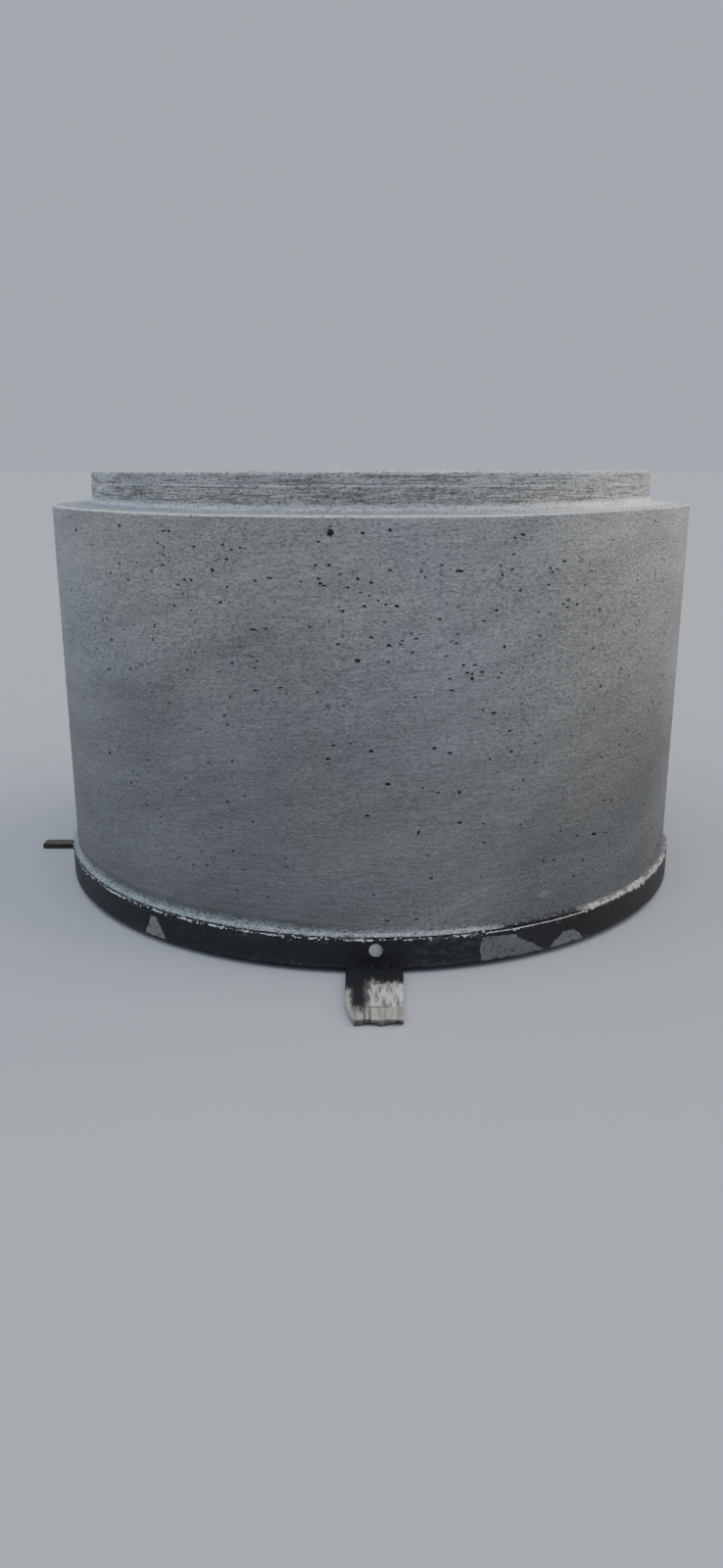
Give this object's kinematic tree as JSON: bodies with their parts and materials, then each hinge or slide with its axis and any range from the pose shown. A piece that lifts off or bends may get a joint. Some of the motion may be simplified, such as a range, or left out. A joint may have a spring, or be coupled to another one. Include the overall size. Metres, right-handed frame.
{
  "type": "concrete culvert pipe",
  "caption": "Large precast concrete culvert pipe standing on end, spigot up, on the steel base ring of its mould and timber bearers.",
  "frame": {"origin": "on the pipe's axis, in the plane where the foot of the concrete sits on the ledge of the base ring", "axes": "+Z along the pipe's axis, up to the spigot; -Y towards the front, where the wide board and the pin are; -X towards the narrow batten"},
  "size_m": [2.72, 2.8899, 1.613],
  "materials": {
    "concrete": "matte",
    "black_steel": "satin",
    "pin_steel": "matte",
    "board_timber": "matte",
    "batten_timber": "matte"
  },
  "bodies": {
    "root": {"concrete_pipe": "concrete", "pallet_ring": "black_steel", "locating_pin": "pin_steel", "front_board": "board_timber", "left_batten": "batten_timber", "right_board": "board_timber", "back_board": "board_timber"}
  },
  "joints": []
}
